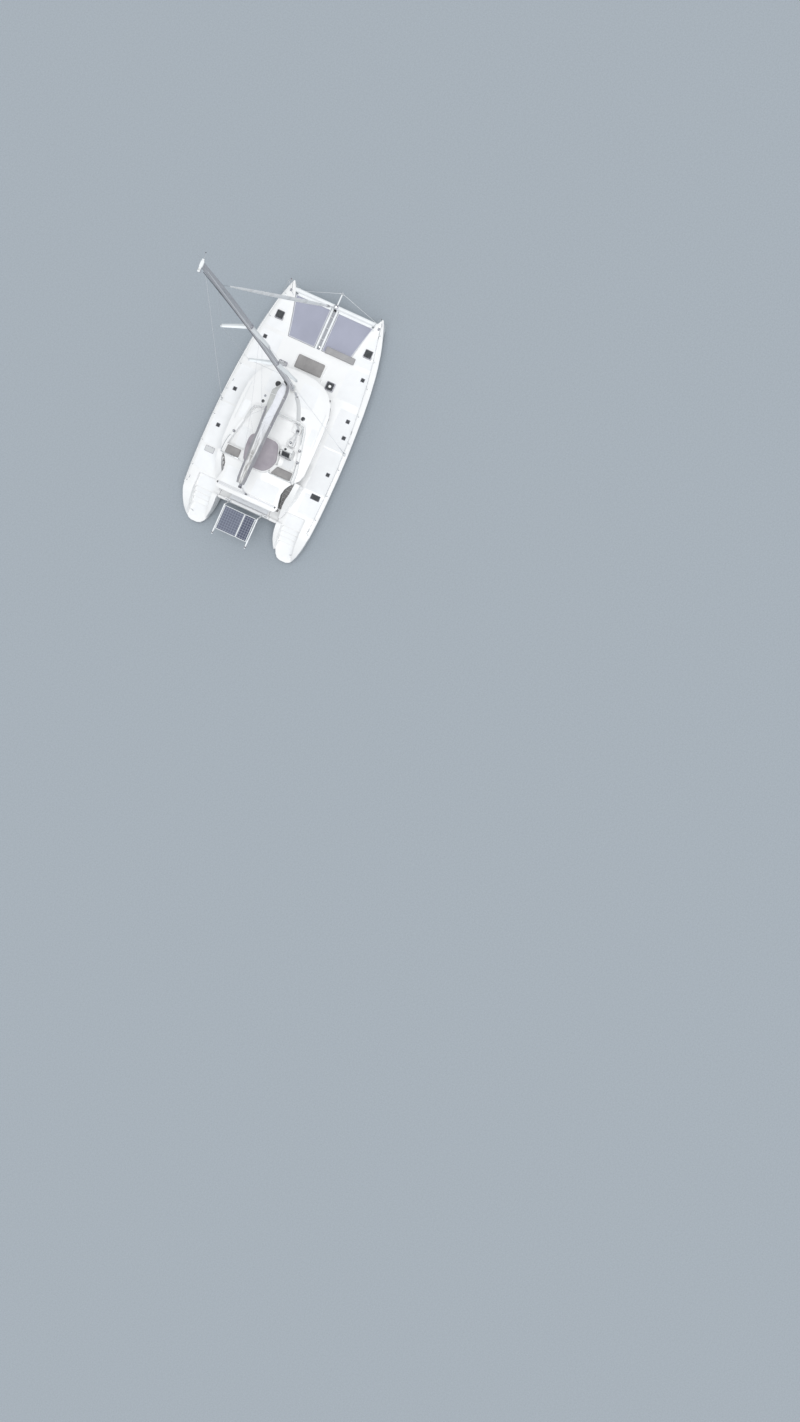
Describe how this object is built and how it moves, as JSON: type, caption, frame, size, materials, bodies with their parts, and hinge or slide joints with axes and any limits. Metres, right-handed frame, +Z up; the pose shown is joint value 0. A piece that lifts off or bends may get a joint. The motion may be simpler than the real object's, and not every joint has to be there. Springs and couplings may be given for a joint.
{
  "type": "sailing catamaran",
  "caption": "Flybridge sailing catamaran, afloat: tall raked mast, furled headsail, boom with bagged mainsail, glazed saloon, fore nets, stern steps, davits with solar panels.",
  "frame": {"origin": "on the waterline, amidships, on the centreline", "axes": "+X towards the bows, +Y to port, +Z up"},
  "size_m": [16.37, 8.6, 26.86],
  "materials": {
    "gelcoat": "glossy white gelcoat",
    "antifouling": "matte antifouling paint",
    "alloy": "satin anodised",
    "white_alloy": "satin white paint",
    "steel": "polished stainless steel",
    "bronze": "cast",
    "tinted_glass": "tinted",
    "acrylic": "smoked acrylic in an alloy frame",
    "sailcloth": "woven",
    "netting": "laced net",
    "cushion_cloth": "upholstery cloth",
    "solar_cells": "semi-gloss",
    "wood": "satin varnish"
  },
  "bodies": {
    "boat": {"aft_bench": "gelcoat", "bench_cushion": "cushion_cloth", "bowsprit": "steel", "bridgedeck": "gelcoat", "bulkhead_window": "tinted_glass", "cabin_bulkhead": "gelcoat", "cabin_walls": "gelcoat", "centre_beam": "white_alloy", "cockpit_settee": "gelcoat", "cockpit_table": "wood", "companion_cushion": "cushion_cloth", "crossbeam": "white_alloy", "davit_frame": "steel", "dinette_settee": "cushion_cloth", "dinette_table": "wood", "flybridge_moulding": "gelcoat", "foredeck_cushion": "cushion_cloth", "forestay": "steel", "galley_counter": "wood", "helm_console": "gelcoat", "helm_cushion": "cushion_cloth", "hull_port": "gelcoat", "hull_starboard": "gelcoat", "keel_port": "antifouling", "keel_starboard": "antifouling", "mast": "alloy", "net_cushion": "cushion_cloth", "rail_port": "steel", "rail_starboard": "steel", "roof": "gelcoat", "saildrive_port": "alloy", "saildrive_starboard": "alloy", "settee_cushion": "cushion_cloth", "shroud_port": "steel", "shroud_starboard": "steel", "solar_panel_port": "solar_cells", "solar_panel_starboard": "solar_cells", "stairs_port": "gelcoat", "stairs_starboard": "gelcoat", "sunbed_cushion": "cushion_cloth", "trampoline_port": "netting", "trampoline_starboard": "netting", "traveller": "alloy", "window_band": "tinted_glass"},
    "boom_body": {"boom": "alloy", "sail_bag": "sailcloth"},
    "furled_headsail": {"headsail": "sailcloth", "furler_drum": "steel"},
    "rudder_port_body": {"rudder_port": "antifouling"},
    "rudder_starboard_body": {"rudder_starboard": "antifouling"},
    "wheel_body": {"helm_wheel": "steel"},
    "propeller_port_body": {"propeller_port": "bronze"},
    "propeller_starboard_body": {"propeller_starboard": "bronze"},
    "saloon_door": {"door_frame": "alloy", "door_glass": "tinted_glass"},
    "fore_hatch_port": {"hatch_fore_port": "acrylic"},
    "fore_hatch_starboard": {"hatch_fore_starboard": "acrylic"},
    "deck_hatch_port": {"hatch_deck_port": "acrylic"},
    "deck_hatch_starboard": {"hatch_deck_starboard": "acrylic"}
  },
  "joints": [
    {"name": "boom_swing", "type": "hinge", "parent": "boat", "child": "boom_body", "pos_m": [1.33, 0, 4.94], "axis": [0, 0, 1], "range_deg": [-60, 60]},
    {"name": "furler_turn", "type": "hinge", "parent": "boat", "child": "furled_headsail", "pos_m": [7.36, 0, 1.85], "axis": [-0.284, 0, 0.9588], "continuous": true},
    {"name": "helm_turn", "type": "hinge", "parent": "boat", "child": "wheel_body", "pos_m": [-2.27, -1.35, 4.08], "axis": [1, 0, 0], "range_deg": [-540, 540]},
    {"name": "saloon_door_slide", "type": "slide", "parent": "boat", "child": "saloon_door", "axis": [0, 1, 0], "range_m": [0, 0.88]},
    {"name": "rudder_port_turn", "type": "hinge", "parent": "boat", "child": "rudder_port_body", "pos_m": [-6.75, 3.05, -0.35], "axis": [0, 0, 1], "range_deg": [-35, 35]},
    {"name": "propeller_port_spin", "type": "hinge", "parent": "boat", "child": "propeller_port_body", "pos_m": [-5.2, 3.05, -1], "axis": [1, 0, 0], "continuous": true},
    {"name": "fore_hatch_port_lift", "type": "hinge", "parent": "boat", "child": "fore_hatch_port", "pos_m": [5.85, 2.93, 1.9353], "axis": [0, 1, 0], "range_deg": [0, 85]},
    {"name": "deck_hatch_port_lift", "type": "hinge", "parent": "boat", "child": "deck_hatch_port", "pos_m": [3.18, 1.6, 1.9203], "axis": [0, 1, 0], "range_deg": [0, 85]},
    {"name": "rudder_starboard_turn", "type": "hinge", "parent": "boat", "child": "rudder_starboard_body", "pos_m": [-6.75, -3.05, -0.35], "axis": [0, 0, 1], "range_deg": [-35, 35]},
    {"name": "propeller_starboard_spin", "type": "hinge", "parent": "boat", "child": "propeller_starboard_body", "pos_m": [-5.2, -3.05, -1], "axis": [1, 0, 0], "continuous": true},
    {"name": "fore_hatch_starboard_lift", "type": "hinge", "parent": "boat", "child": "fore_hatch_starboard", "pos_m": [5.85, -2.93, 1.9353], "axis": [0, 1, 0], "range_deg": [0, 85]},
    {"name": "deck_hatch_starboard_lift", "type": "hinge", "parent": "boat", "child": "deck_hatch_starboard", "pos_m": [3.18, -1.6, 1.9203], "axis": [0, 1, 0], "range_deg": [0, 85]}
  ],
  "couplings": [
    {"joint": "rudder_starboard_turn", "follows": "rudder_port_turn", "ratio": 1},
    {"joint": "helm_turn", "follows": "rudder_port_turn", "ratio": 15.4}
  ]
}
